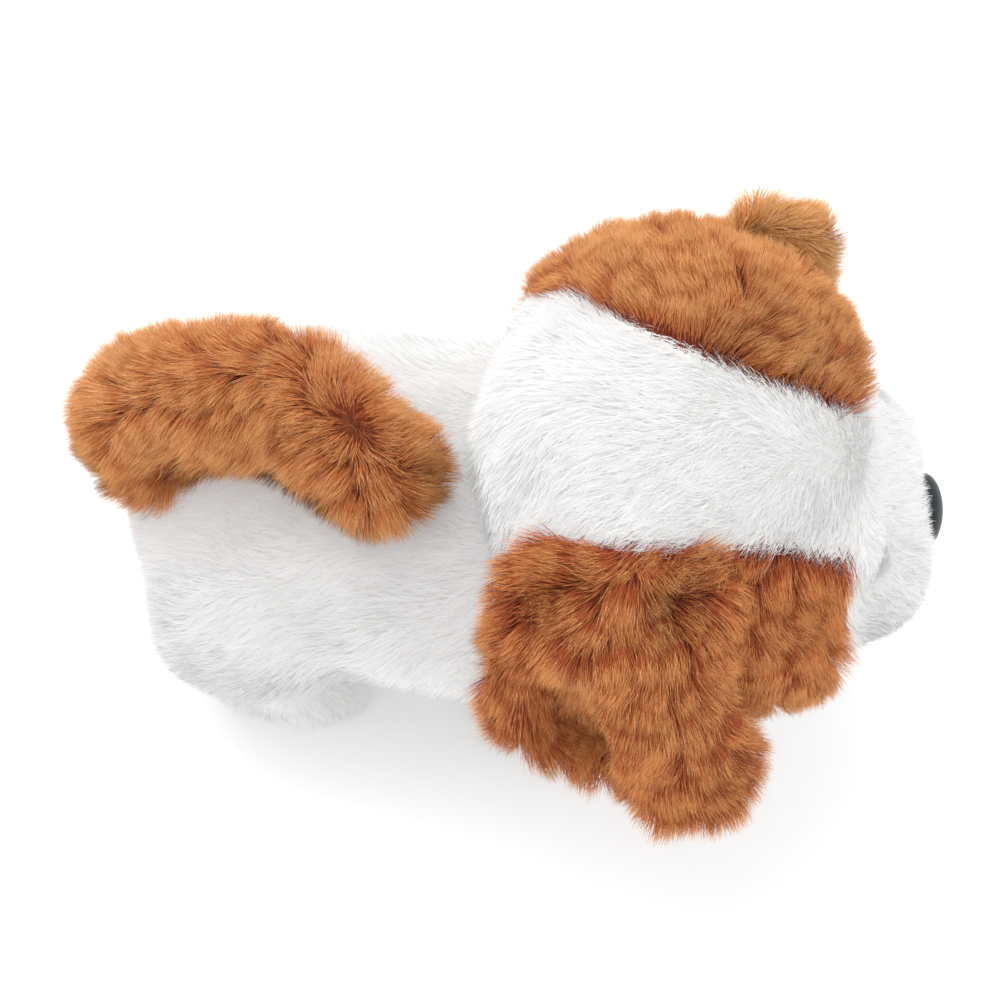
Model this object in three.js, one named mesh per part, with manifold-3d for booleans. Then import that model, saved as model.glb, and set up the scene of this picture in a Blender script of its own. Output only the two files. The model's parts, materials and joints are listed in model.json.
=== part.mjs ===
// A walking plush puppy: a two-part plastic casing with one motor, a gear train and a crank that
// swings four short legs, wags the tail and nods the head, all inside a sewn plush skin.
// Millimetres. X points to the nose, Y to the puppy's left, Z up, and the feet stand on z = 0.
import * as THREE from 'three';
import { mergeVertices } from 'three/addons/utils/BufferGeometryUtils.js';
import Module from 'manifold-3d';

const wasm = await Module();
wasm.setup();

// ---- Driving dimensions -------------------------------------------------------------------------

const middleX = -2.72; // x of the middle of the whole puppy, which becomes x = 0
const gap = 0.3; // between pieces that touch or are pressed together
const sides = [['left', 1], ['right', -1]]; // name and sign of Y

// Casing
const wall = 2;
const casingBack = -70;
const casingFront = 26;
const casingHalfWidth = 18.5;
const casingBottom = 31;
const casingTop = 71;
const casingCorner = 8;
const innerHalfWidth = casingHalfWidth - wall;

// Hips, crank and links
const rearHipX = -56;
const frontHipX = 14;
const hipZ = 39;
const crankX = rearHipX;
const crankZ = 59;
const crankRadius = 3.5;
const shaftRadius = 1.75;
const crankPinRadius = 1.5;
const linkPinRise = 9; // height of a side link's pins above the hips
const linkPinRadius = 1.3;
const linkPinEnd = 27.6; // outer end of a side link's pin, from the middle plane
const linkHalfHeight = 2.2;
const linkEyeRadius = 3.2;
const linkStandoff = 0.5; // from the legs
const linkThickness = 2;
const hipPinRadius = 2;
const pinHeadRadius = 3.2;
const pinHeadDepth = 1.2;
const legInner = 21.5; // the legs' inner and outer faces, from the middle plane
const legOuter = 24.5;
const slotPlay = 0.4; // between the crank pin and each side of its slot
const slotEndPlay = 0.6;
const crankLimit = THREE.MathUtils.degToRad(50); // the crank's travel each way in this model
const crankDiscRadius = 6.5;
const crankDiscThickness = 1.9;
const crankDiscStandoff = 0.6; // from the casing
const crankHubRadius = 3.4;

// Leg frames and feet, measured from the hip
const legBarHalf = 5;
const legBarBottom = 5;
const legEndRadius = 4;
const footPlate = { back: 13, front: 17, inner: 18, outer: 32, top: 7 };
const soleHalf = [19, 9.5];
const pawPlushTop = 24;
const slotCorner = 0.05; // kept clear of a half round at each end of the slot

// Gears
const gearModule = 0.5;
const smallTeeth = 10;
const largeTeeth = 34;
const gearBacklash = 0.28;
const toothTop = 0.75 * gearModule; // beyond and short of the pitch circle
const toothFoot = 1.05 * gearModule;
const meshDistance = gearModule * (smallTeeth + largeTeeth) / 2 + 0.05;
const motorX = -53;
const motorZ = 41.5;
const motorRadius = 10; // the can's round sides, and half its height between the flats
const motorHalfHeight = 7.5;
const gearAxleRadius = 0.8;
const gearBoreRadius = 1.05;
const axleSeatRadius = 1;
const axleBack = -18.3; // the gear axles' ends in the casing wall
const pinionBoreRadius = 1.1;
const secondHubRadius = 1.7;
const axleStandout = 0.6; // of an axle's free end beyond its gear
const through = 1; // how far a cutting tool runs past what it cuts
const motorShaftRadius = 0.8;
const gearLayers = [[-12.6, -10.2], [-15.4, -13], [-9.8, -7.4]]; // Y of the three pairs of gears

// Tail drive: a tilted disc on the crank shaft between the two prongs of the tail lever
const tailPivotX = -77;
const swashRadius = 9;
const swashThickness = 1.4;
const swashTilt = THREE.MathUtils.degToRad(18);
const prongReach = 8; // from the shaft to the prongs
const prongPlay = 0.8;
const prongThickness = 1.6;
const leverHalf = 1.6; // half the width of the tail lever's bar
const prongFront = 0.8; // of each prong ahead of the fork's middle, and of its back behind it
const prongBack = 1.6;
const yokeBack = 3.8;
const bossRadius = 3.4;
const bossLayer = [57, 61];
const pivotSpan = [54, 64];
const pivotBoreSpan = [50, 66];
const tailPivotRadius = 1.25;
const tailBoreRadius = 1.6;
const stemBack = -96; // the stem that carries the tail, inside its plush
const stemHalf = 2.5;
const stemLayer = [57.8, 60.2];
const stemTop = 76;

// Head drive: an eccentric, a push rod and the neck lever
const neckX = 19;
const neckLeverArm = 8;
const eccentricOffset = 0.8;
const eccentricRadius = 4;
const rodLayer = [10, 13];
const rodZ = crankZ + eccentricOffset;
const neckZ = rodZ + neckLeverArm;
const neckPinRadius = 1.5;
const neckPinEnd = 18.2;
const neckHubRadius = 4;
const neckHub = [-6, 9.2];
const neckArmHalf = 2.5;
const neckArm = [6.4, 9.2];
const armPinRadius = 1.2;
const rodRingWall = 2.2;
const rodBarHalf = 1.4;
const rodFrontRadius = 3.4;
const rodSlot = { half: 1.5, halfHeight: 2, corner: 1.45 };

// Batteries: two AA cells
const cellRadius = 7.25;
const cellBack = -29.3;
const cellFront = 19.7;
const cellNub = 1;
const cellZ = casingBottom + gap + cellRadius;
const cellY = cellRadius + gap;

// Plush outer shapes: centre and half sizes
const torso = { centre: [-42, 0, 54], half: [55, 44, 30] };
const chest = { centre: [10, 0, 56], half: [38, 38, 34] };
const head = { centre: [41.5, 0, 106], half: [46.5, 52, 43] };
const muzzle = { centre: [80, 0, 91], half: [23.5, 24, 19] };
const headRoom = 4; // between the head and the body, for the nod
const tailPath = [[-88, 0, 66], [-99, 1, 78], [-84, 1, 94], [-57, -2, 103.5], [-26, -13, 97]];
const tailRadius = 14.5;
const tailRoom = 5;
const tailRootRoom = [21, 23, 20];
const footHeight = 3;
const pawHalf = [21, 11, 13];
const pawRoom = 4; // between the paws and the body
const pawForward = 3; // centre of a paw ahead of its hip
const pawY = 25;
const pawZ = 13;
const earHingeY = 50;
const earHingeZ = 126;
const earSplay = THREE.MathUtils.degToRad(10);
const earThickness = 12;
const earStandoff = 1.5;
const eyeX = 80;
const eyeY = 21;
const eyeZ = 103;
const eyeHalf = [4.5, 6, 6];
const eyeStemRadius = 1.6;
const nose = { centre: [99.5, 0, 89], half: [5, 9.5, 7], stemRadius: 1.8 };

// The plastic inside the head: a post from the neck, a beam forward and a plate behind the face
const postX = [14, 24];
const beamX = [20, 67];
const beamLayer = [95, 99];
const beamHalfWidth = 6;
const facePlateX = [66, 69];
const facePlateHalfWidth = 26;
const facePlateZ = [86, 110];
const neckOpening = [[-14, 34], [-24, 24], [50, 81]];

// ---- Materials ----------------------------------------------------------------------------------

const finish = (color, roughness, metalness = 0) =>
  new THREE.MeshStandardMaterial({ color, roughness, metalness });
const whitePlush = finish(0xf4f2ee, 0.95);
const brownPlush = finish(0xb5692f, 0.95);
const casingPlastic = finish(0xd9d6cf, 0.55);
const gearPlastic = finish(0xf2efe4, 0.4);
const blackGloss = finish(0x10141a, 0.12);
const blackPlastic = finish(0x1c1c1e, 0.5);
const steel = finish(0xb8bcc0, 0.3, 1);
const brass = finish(0xc9a24a, 0.35, 1);
const boardGreen = finish(0x2e6b3a, 0.5);
const cellGreen = finish(0x3f7f5a, 0.35);
const redWire = finish(0xb3251f, 0.45);
const footRubber = finish(0xe9e4dc, 0.8);

// ---- Solids -------------------------------------------------------------------------------------

function solidOf(geometry) {
  geometry.deleteAttribute('normal');
  geometry.deleteAttribute('uv');
  const merged = mergeVertices(geometry);
  return new wasm.Manifold(new wasm.Mesh({
    numProp: 3,
    vertProperties: merged.attributes.position.array,
    triVerts: new Uint32Array(merged.index.array),
  }));
}

function block([x0, x1], [y0, y1], [z0, z1]) {
  const geometry = new THREE.BoxGeometry(x1 - x0, y1 - y0, z1 - z0);
  return solidOf(geometry.translate((x0 + x1) / 2, (y0 + y1) / 2, (z0 + z1) / 2));
}

// A cylinder along Y between y0 and y1, around the point x, z.
function barrelY(radius, x, z, [y0, y1], facets = 14) {
  const geometry = new THREE.CylinderGeometry(radius, radius, Math.abs(y1 - y0), facets);
  return solidOf(geometry.translate(x, (y0 + y1) / 2, z));
}

function barrelZ(radius, x, y, [z0, z1], facets = 14) {
  const geometry = new THREE.CylinderGeometry(radius, radius, z1 - z0, facets);
  return solidOf(geometry.rotateX(Math.PI / 2).translate(x, y, (z0 + z1) / 2));
}

function barrelX(radius, y, z, [x0, x1], facets = 12) {
  const geometry = new THREE.CylinderGeometry(radius, radius, x1 - x0, facets);
  return solidOf(geometry.rotateZ(-Math.PI / 2).translate((x0 + x1) / 2, y, z));
}

function egg([x, y, z], [a, b, c], around = 14, down = 8) {
  const geometry = new THREE.SphereGeometry(1, around, down).rotateX(Math.PI / 2);
  return solidOf(geometry.scale(a, b, c).translate(x, y, z));
}

// An outline in X and Z, given thickness between y0 and y1.
function plateY(shape, [y0, y1], curveSegments = 3) {
  const options = { depth: Math.abs(y1 - y0), bevelEnabled: false, curveSegments };
  const geometry = new THREE.ExtrudeGeometry(shape, options);
  return solidOf(geometry.rotateX(Math.PI / 2).translate(0, Math.max(y0, y1), 0));
}

function roundedOutline(x0, x1, z0, z1, r) {
  const shape = new THREE.Shape();
  shape.absarc(x1 - r, z1 - r, r, 0, Math.PI / 2);
  shape.absarc(x0 + r, z1 - r, r, Math.PI / 2, Math.PI);
  shape.absarc(x0 + r, z0 + r, r, Math.PI, Math.PI * 1.5);
  shape.absarc(x1 - r, z0 + r, r, Math.PI * 1.5, Math.PI * 2);
  shape.closePath();
  return shape;
}

const mirrored = (range, side) => (side > 0 ? range : [-range[1], -range[0]]);
const widened = ([low, high], grow) => [low - grow, high + grow];
const join = (first, ...others) => others.reduce((whole, part) => whole.add(part), first);
const cut = (whole, ...tools) => tools.reduce((left, tool) => left.subtract(tool), whole);

const puppy = new THREE.Group();
puppy.position.x = -middleX;

function add(name, solid, material) {
  const { vertProperties, triVerts } = solid.getMesh();
  const geometry = new THREE.BufferGeometry();
  geometry.setAttribute('position', new THREE.BufferAttribute(vertProperties, 3));
  geometry.setIndex(new THREE.BufferAttribute(triVerts, 1));
  const mesh = new THREE.Mesh(geometry, material);
  mesh.name = name;
  puppy.add(mesh);
}

// ---- Gears --------------------------------------------------------------------------------------

// Stub-toothed outline with its first tooth or, half a pitch on, its first gap at the angle given.
function gearOutline(teeth, angle) {
  const pitchRadius = gearModule * teeth / 2;
  const tip = pitchRadius + toothTop;
  const root = pitchRadius - toothFoot;
  const halfTooth = (Math.PI * gearModule / 2 - gearBacklash) / 2 / pitchRadius;
  const corners = [[root, -1.5], [tip, -0.5], [tip, 0.5], [root, 1.5]];
  const points = [];
  for (let tooth = 0; tooth < teeth; tooth += 1) {
    const middle = angle + tooth * 2 * Math.PI / teeth;
    for (const [radius, share] of corners) {
      const at = middle + share * halfTooth;
      points.push(new THREE.Vector2(radius * Math.cos(at), radius * Math.sin(at)));
    }
  }
  return new THREE.Shape(points);
}

const gearAt = (teeth, angle, [x, z], layer) =>
  plateY(gearOutline(teeth, angle), layer).translate(x, 0, z);
const toothTowards = (from, to) => Math.atan2(to[1] - from[1], to[0] - from[0]);
const gapTowards = (from, to, teeth) => toothTowards(from, to) + Math.PI / teeth;

const crankAxis = [crankX, crankZ];
const motorAxis = [motorX, motorZ];
const secondDirection = THREE.MathUtils.degToRad(-17);
const secondAxis = [
  crankX + meshDistance * Math.cos(secondDirection),
  crankZ + meshDistance * Math.sin(secondDirection),
];

// The first gear's axle is one mesh distance from both the motor and the second gear's axle.
function meetingPoint(a, b) {
  const half = [(b[0] - a[0]) / 2, (b[1] - a[1]) / 2];
  const reach = Math.hypot(...half);
  const off = Math.sqrt(meshDistance ** 2 - reach ** 2) / reach;
  return [a[0] + half[0] + half[1] * off, a[1] + half[1] - half[0] * off];
}
const firstAxis = meetingPoint(motorAxis, secondAxis);

function addGears() {
  const [motorLayer, middleLayer, crankLayer] = gearLayers;
  const boreSpan = [middleLayer[0] - through, crankLayer[1] + through];
  const bore = ([x, z]) => barrelY(gearBoreRadius, x, z, boreSpan, 12);
  const pinion = gearAt(smallTeeth, toothTowards(motorAxis, firstAxis), motorAxis, motorLayer);
  const pinionBore = [motorLayer[0] - through, motorLayer[1] + through];
  add('motor_pinion', cut(pinion, barrelY(pinionBoreRadius, ...motorAxis, pinionBore, 12)), brass);

  const firstAngle = gapTowards(firstAxis, motorAxis, largeTeeth);
  const firstLarge = gearAt(largeTeeth, firstAngle, firstAxis, motorLayer);
  const firstSmall = gearAt(smallTeeth, toothTowards(firstAxis, secondAxis), firstAxis,
    [middleLayer[0], motorLayer[0] + 0.1]);
  add('first_gear', cut(join(firstLarge, firstSmall), bore(firstAxis)), gearPlastic);

  const secondAngle = gapTowards(secondAxis, firstAxis, largeTeeth);
  const secondLarge = gearAt(largeTeeth, secondAngle, secondAxis, middleLayer);
  const secondSmall = gearAt(smallTeeth, toothTowards(secondAxis, crankAxis), secondAxis, crankLayer);
  const hub = barrelY(secondHubRadius, ...secondAxis, [middleLayer[1] - 0.1, crankLayer[0] + 0.1], 12);
  add('second_gear', cut(join(secondLarge, secondSmall, hub), bore(secondAxis)), gearPlastic);

  const crankAngle = gapTowards(crankAxis, secondAxis, largeTeeth);
  const crankGear = gearAt(largeTeeth, crankAngle, crankAxis, crankLayer);
  const crankBore = [crankLayer[0] - through, crankLayer[1] + through];
  add('crank_gear', cut(crankGear, barrelY(shaftRadius + gap, ...crankAxis, crankBore)), gearPlastic);

  const firstSpan = [axleBack, motorLayer[1] + axleStandout];
  const secondSpan = [axleBack, crankLayer[1] + axleStandout];
  add('first_gear_axle', barrelY(gearAxleRadius, ...firstAxis, firstSpan, 12), steel);
  add('second_gear_axle', barrelY(gearAxleRadius, ...secondAxis, secondSpan, 12), steel);
}

// ---- Crank shaft and what turns with it ---------------------------------------------------------

const discInner = casingHalfWidth + crankDiscStandoff;
const discOuter = discInner + crankDiscThickness;
const pinHeight = (side) => crankZ + side * crankRadius; // the two crank pins are half a turn apart

function addCrank() {
  add('crank_shaft', barrelY(shaftRadius, ...crankAxis, [-discOuter, discOuter], 16), steel);
  for (const [name, side] of sides) {
    const disc = barrelY(crankDiscRadius, ...crankAxis, mirrored([discInner, discOuter], side));
    const pinSpan = mirrored([discOuter - 0.1, legOuter], side);
    const boreSpan = mirrored([discInner - through, discOuter + through], side);
    const pin = barrelY(crankPinRadius, crankX, pinHeight(side), pinSpan, 12);
    const bore = barrelY(shaftRadius + gap, ...crankAxis, boreSpan, 16);
    add(`crank_disc_${name}`, join(cut(disc, bore), cut(pin, bore)), gearPlastic);
  }
  const turn = THREE.MathUtils.radToDeg(swashTilt);
  const swash = barrelY(swashRadius, 0, 0, [-swashThickness / 2, swashThickness / 2], 32)
    .rotate([turn, 0, 0]).translate(crankX, 0, crankZ);
  const hub = barrelY(crankHubRadius, ...crankAxis, [-crankHubRadius, crankHubRadius], 16);
  const boreSpan = [-crankHubRadius - through, crankHubRadius + through];
  const bore = barrelY(shaftRadius + gap, ...crankAxis, boreSpan, 16);
  add('tail_cam', cut(join(swash, hub), bore), gearPlastic);
  const eccentric = barrelY(eccentricRadius, crankX, rodZ, rodLayer, 24);
  const rodBore = [rodLayer[0] - through, rodLayer[1] + through];
  const throughBore = barrelY(shaftRadius + gap, ...crankAxis, rodBore, 16);
  add('head_cam', cut(eccentric, throughBore), gearPlastic);
}

// ---- Legs and side links ------------------------------------------------------------------------

const pawCentre = (hipX, side) => [hipX + pawForward, side * pawY, pawZ];

// The plastic inside a leg: a bar from the foot up past the hip, and a foot plate.
function legFrame(hipX, side, topZ, grow = 0) {
  const layer = mirrored([legInner - grow, legOuter + grow], side);
  const half = legBarHalf + grow;
  const bar = plateY(roundedOutline(hipX - half, hipX + half, legBarBottom, topZ, legEndRadius), layer);
  const foot = block([hipX - footPlate.back - grow, hipX + footPlate.front + grow],
    mirrored([footPlate.inner - grow, footPlate.outer + grow], side),
    [footHeight + gap - grow, footPlate.top + grow]);
  return join(bar, foot);
}

function addLeg(place, hipX, [name, side]) {
  const driven = hipX === rearHipX;
  const layer = mirrored([legInner - through, legOuter + through], side);
  const topZ = (driven ? pinHeight(side) : hipZ + linkPinRise) + legBarHalf;
  const linkPinSpan = mirrored([legOuter - 0.1, linkPinEnd], side);
  const linkPin = barrelY(linkPinRadius, hipX, hipZ + linkPinRise, linkPinSpan, 12);
  let frame = join(legFrame(hipX, side, topZ), linkPin);
  frame = cut(frame, barrelY(hipPinRadius + gap, hipX, hipZ, layer));
  if (driven) {
    const drop = crankRadius * (1 - Math.cos(crankLimit));
    const end = crankPinRadius + slotEndPlay;
    const low = pinHeight(side) - (side > 0 ? drop : 0) - end;
    const high = pinHeight(side) + (side > 0 ? 0 : drop) + end;
    const half = crankPinRadius + slotPlay;
    const slot = roundedOutline(hipX - half, hipX + half, low, high, half - slotCorner);
    frame = cut(frame, plateY(slot, layer));
  }
  add(`${place}_leg_frame_${name}`, frame, casingPlastic);

  const [x, y] = pawCentre(hipX, side);
  const sole = new THREE.CylinderGeometry(1, 1, footHeight, 16).rotateX(Math.PI / 2);
  sole.scale(...soleHalf, 1).translate(x, y, footHeight / 2);
  add(`${place}_sole_${name}`, solidOf(sole), footRubber);

  const plush = egg(pawCentre(hipX, side), pawHalf);
  const aroundX = [x - 2 * pawHalf[0], x + 2 * pawHalf[0]];
  const aroundY = [y - 2 * pawHalf[1], y + 2 * pawHalf[1]];
  const below = block(aroundX, aroundY, [-through, footHeight + gap]);
  const above = block(aroundX, aroundY, [pawPlushTop, pawPlushTop + pawHalf[2]]);
  add(`${place}_leg_plush_${name}`, cut(plush, below, above, legFrame(hipX, side, topZ, gap)), whitePlush);

  const shank = mirrored([innerHalfWidth - pinHeadDepth, legOuter + pinHeadDepth], side);
  const innerHead = mirrored([innerHalfWidth - pinHeadDepth, innerHalfWidth - gap], side);
  const outerHead = mirrored([legOuter + gap, legOuter + pinHeadDepth], side);
  const pin = join(barrelY(hipPinRadius, hipX, hipZ, shank, 16),
    barrelY(pinHeadRadius, hipX, hipZ, innerHead, 16),
    barrelY(pinHeadRadius, hipX, hipZ, outerHead, 16));
  add(`${place}_hip_pin_${name}`, pin, steel);
}

function addLink([name, side]) {
  const linkInner = legOuter + linkStandoff;
  const layer = mirrored([linkInner, linkInner + linkThickness], side);
  const z = hipZ + linkPinRise;
  const outline = roundedOutline(rearHipX - linkEyeRadius, frontHipX + linkEyeRadius,
    z - linkHalfHeight, z + linkHalfHeight, linkHalfHeight - 0.1);
  const bar = plateY(outline, layer);
  const wide = [rearHipX, frontHipX].map((x) => barrelY(linkEyeRadius, x, z, layer, 16));
  const holes = [rearHipX, frontHipX].map((x) =>
    barrelY(linkPinRadius + gap, x, z, mirrored([legOuter, linkPinEnd + through], side), 12));
  add(`side_link_${name}`, cut(join(bar, ...wide), ...holes), gearPlastic);
}

// ---- Tail ---------------------------------------------------------------------------------------

function tailShape(radius) {
  const points = tailPath.map((p) => new THREE.Vector3(...p));
  const path = new THREE.CatmullRomCurve3(points);
  const section = new THREE.Shape().absarc(0, 0, radius, 0, Math.PI * 2);
  const options = { extrudePath: path, steps: 10, curveSegments: 5, bevelEnabled: false };
  const tube = solidOf(new THREE.ExtrudeGeometry(section, options));
  const tip = egg(tailPath.at(-1), [radius, radius, radius], 12, 7);
  return join(tube, tip);
}

function tailStem(grow = 0) {
  const width = [-stemHalf - grow, stemHalf + grow];
  const [low, high] = stemLayer;
  const stem = block([stemBack - grow, tailPivotX - 2], width, [low - grow, high + grow]);
  const upright = block([stemBack - grow, stemBack + 4 + grow], width, [low - grow, stemTop + grow]);
  return join(stem, upright);
}

function addTail() {
  const forkX = crankX - prongReach;
  const half = swashThickness / 2 / Math.cos(swashTilt) + prongPlay;
  const outer = half + prongThickness;
  const flat = [crankZ - prongThickness / 2, crankZ + prongThickness / 2];
  const prongs = [1, -1].map((side) =>
    block([forkX - prongBack, forkX + prongFront], mirrored([half, outer], side), flat));
  const yoke = block([forkX - yokeBack, forkX - prongBack + 0.1], [-outer, outer], flat);
  const bar = block([tailPivotX, forkX - prongBack], [-leverHalf, leverHalf], flat);
  const boss = barrelZ(bossRadius, tailPivotX, 0, bossLayer);
  const lever = join(bar, yoke, ...prongs, boss, tailStem());
  add('tail_lever', cut(lever, barrelZ(tailBoreRadius, tailPivotX, 0, pivotBoreSpan, 16)), casingPlastic);
  add('tail_pivot_pin', barrelZ(tailPivotRadius, tailPivotX, 0, pivotSpan, 16), steel);
  const rootFace = block([2 * stemBack, tailPivotX], [-2 * tailRadius, 2 * tailRadius],
    [hipZ, stemLayer[1] + gap]);
  add('tail_plush', cut(tailShape(tailRadius), tailStem(gap), rootFace), brownPlush);
}

// ---- Casing -------------------------------------------------------------------------------------

const lugLayers = [[53.6, 56.6], [61.4, 64.4]];
const casingScrews = [[-65.8, 66], [4, 65.3], [-65.5, 38]];
const coverScrew = [-35, 8];
const switchX = [-42.7, -38.2];
const shelf = { x: [-32, casingFront - 1], z: [47, 48.4] }; // over the cells, under the board
const lugBack = tailPivotX - 4;
const lugHalfWidth = 5;
const lugBoreRadius = 1.55;
const coverBossTop = 41;
const coverHoleTop = 38;
const coverHoleRadius = 1.5;
const switchDoor = [[-42, -38.8], [-4.2, 4.2]];
const neckDoorBack = 11.5;
const screwEnd = 8;
const screwSlot = { length: 4, width: 0.7, depth: 0.6 };
const screwRadius = 1.1;
const screwHeadRadius = 2.4;
const screwHeadDepth = 1.6;
const screwBossRadius = 2.5;
const screwHoleRadius = 1.4;
const cellDoor = [[-31.6, 23], [-15.6, 15.6]]; // the opening that the cells go in by, X and Y
const doorPlate = [[-38, 25], [-17, 17]];
const tailDoor = [[-6, 6], [56.8, 61.2]]; // the tail lever's way out, Y and Z
const neckDoor = [[-9, 12], [61.9, casingTop + 1]];

function addCasingHalf([name, side]) {
  const shell = plateY(roundedOutline(casingBack, casingFront, casingBottom, casingTop, casingCorner),
    mirrored([gap / 2, casingHalfWidth], side));
  const hollow = plateY(roundedOutline(casingBack + wall, casingFront - wall, casingBottom + wall,
    casingTop - wall, casingCorner - wall), mirrored([gap / 2 - 1, innerHalfWidth], side));
  const shelfPlate = block(shelf.x, mirrored([gap / 2, innerHalfWidth + 1], side), shelf.z);
  const bosses = casingScrews.map(([x, z]) =>
    barrelY(screwBossRadius, x, z, mirrored([gap / 2, innerHalfWidth + 1], side), 12));
  const lugs = lugLayers.map((layer) =>
    block([lugBack, casingBack + 1], mirrored([gap / 2, lugHalfWidth], side), layer));
  let half = join(cut(shell, hollow), shelfPlate, ...bosses, ...lugs);
  if (side > 0) {
    half = join(half, barrelZ(screwBossRadius, ...coverScrew, [casingBottom + 1, coverBossTop], 12));
    half = cut(half, barrelZ(coverHoleRadius, ...coverScrew, [casingBottom - 1, coverHoleTop], 12));
  }
  const across = mirrored([-through, casingHalfWidth + through], side);
  const screwHole = side > 0 ? [-through, screwEnd + 4] : across;
  const holes = casingScrews.map(([x, z]) => barrelY(screwHoleRadius, x, z, screwHole, 12));
  const floor = [casingBottom - 1, casingBottom + wall + 1];
  half = cut(half, ...holes,
    block(...cellDoor, floor),
    block(...switchDoor, floor),
    barrelY(shaftRadius + gap, ...crankAxis, across),
    barrelY(neckPinRadius + gap, neckX, neckZ, across),
    barrelY(hipPinRadius + gap, rearHipX, hipZ, across),
    barrelY(hipPinRadius + gap, frontHipX, hipZ, across),
    block([casingBack - 1, casingBack + wall + 1], ...tailDoor),
    block([neckDoorBack, casingFront + 1], ...neckDoor),
    barrelZ(lugBoreRadius, tailPivotX, 0, pivotBoreSpan, 16));
  if (side < 0) {
    const seat = [axleBack - 0.7, 1 - innerHalfWidth];
    half = cut(half, barrelY(axleSeatRadius, ...firstAxis, seat, 12),
      barrelY(axleSeatRadius, ...secondAxis, seat, 12));
  }
  add(`casing_${name}`, half, casingPlastic);
}

function addCasingScrews() {
  const names = ['rear_top', 'front_top', 'rear_bottom'];
  casingScrews.forEach(([x, z], index) => {
    const headLayer = [-casingHalfWidth - screwHeadDepth, -casingHalfWidth - gap];
    const screw = join(barrelY(screwRadius, x, z, [-casingHalfWidth - 1, screwEnd], 12),
      barrelY(screwHeadRadius, x, z, headLayer, 12));
    const slot = block([x - screwSlot.length / 2, x + screwSlot.length / 2],
      [headLayer[0] - through, headLayer[0] + screwSlot.depth],
      [z - screwSlot.width / 2, z + screwSlot.width / 2]);
    add(`casing_screw_${names[index]}`, cut(screw, slot), steel);
  });
}

const doorRim = [[-31, 22.4], [-15, 15]];
const coverBoltRadius = 1.15;
const coverBoltHead = 2.6;
const coverBoltEnd = 37.5;
const cellNubRadius = 2.7;
const contactPlate = { thickness: 0.8, y: [-14.8, 14.8], z: [36.2, 46] };
const contactDimpleRadius = 3;

function addBatteryBay() {
  const coverTop = casingBottom - gap;
  const plate = block(...doorPlate, [coverTop - wall, coverTop]);
  const rim = block(...doorRim, [coverTop - 0.1, casingBottom + 0.05]);
  const hole = barrelZ(coverHoleRadius, ...coverScrew, [coverTop - 5, coverTop + 5], 12);
  add('battery_cover', cut(join(plate, rim), hole), casingPlastic);
  const screwHead = [coverTop - wall - screwHeadDepth, coverTop - wall - gap];
  const coverBolt = join(
    barrelZ(coverBoltRadius, ...coverScrew, [coverTop - wall - 1, coverBoltEnd], 12),
    barrelZ(coverBoltHead, ...coverScrew, screwHead, 12));
  const slot = block([coverScrew[0] - coverBoltHead - gap, coverScrew[0] + coverBoltHead + gap],
    [coverScrew[1] - screwSlot.width / 2, coverScrew[1] + screwSlot.width / 2],
    [screwHead[0] - through, screwHead[0] + screwSlot.depth]);
  add('battery_cover_screw', cut(coverBolt, slot), steel);
  for (const [name, side] of sides) {
    const can = barrelX(cellRadius, side * cellY, cellZ, [cellBack, cellFront], 20);
    const nub = barrelX(cellNubRadius, side * cellY, cellZ, [cellFront - 0.1, cellFront + cellNub], 12);
    add(`battery_${name}`, join(can, nub), cellGreen);
  }
  const contact = (x, depth) => join(
    block([x, x + contactPlate.thickness], contactPlate.y, contactPlate.z),
    ...sides.map(([, side]) => barrelX(contactDimpleRadius, side * cellY, cellZ, depth, 12)));
  add('battery_contact_front', contact(21.9, [21, 22]), steel);
  add('battery_contact_rear', contact(-31.8, [-31.1, -29.6]), steel);
}

const motorCan = [-9, 14.5];
const motorShaft = [-12.9, -8.9];
const boardBlocks = [
  [[-28, 8], [-14, 14], [51, 52.6]], // the board itself
  [[-20, -10], [-6, 4], [52.5, 54.2]], // a chip
  [[-4, 0], [6, 8], [52.5, 53.6]], // a resistor
];
const capacitor = { radius: 2.6, x: 2, y: -8, z: [52.5, 57] };
const speakerX = -17;
const speakerRim = { radius: 12, z: [66.2, 68.6] };
const speakerBasket = { radius: 8.5, z: [62.8, 66.3] };
const leadPath = [[-45, 49.8], [-43.5, 52.5], [-37, 53], [-28.5, 51.8]]; // X and Z, from can to board
const leadRadius = 0.6;
const leadY = { red: 6, black: 9 };
const switchBody = [switchX, [-4.8, 4.8], [casingBottom + wall + gap, 37]];
const switchKnob = [[-41.6, -39.2], [-3.8, 0.2], [casingBottom - 1.6, casingBottom + wall]];
const knobGroove = [[-42.5, -38.5], [-2.2, -1.4], [casingBottom - 2, casingBottom - 1]];

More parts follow.
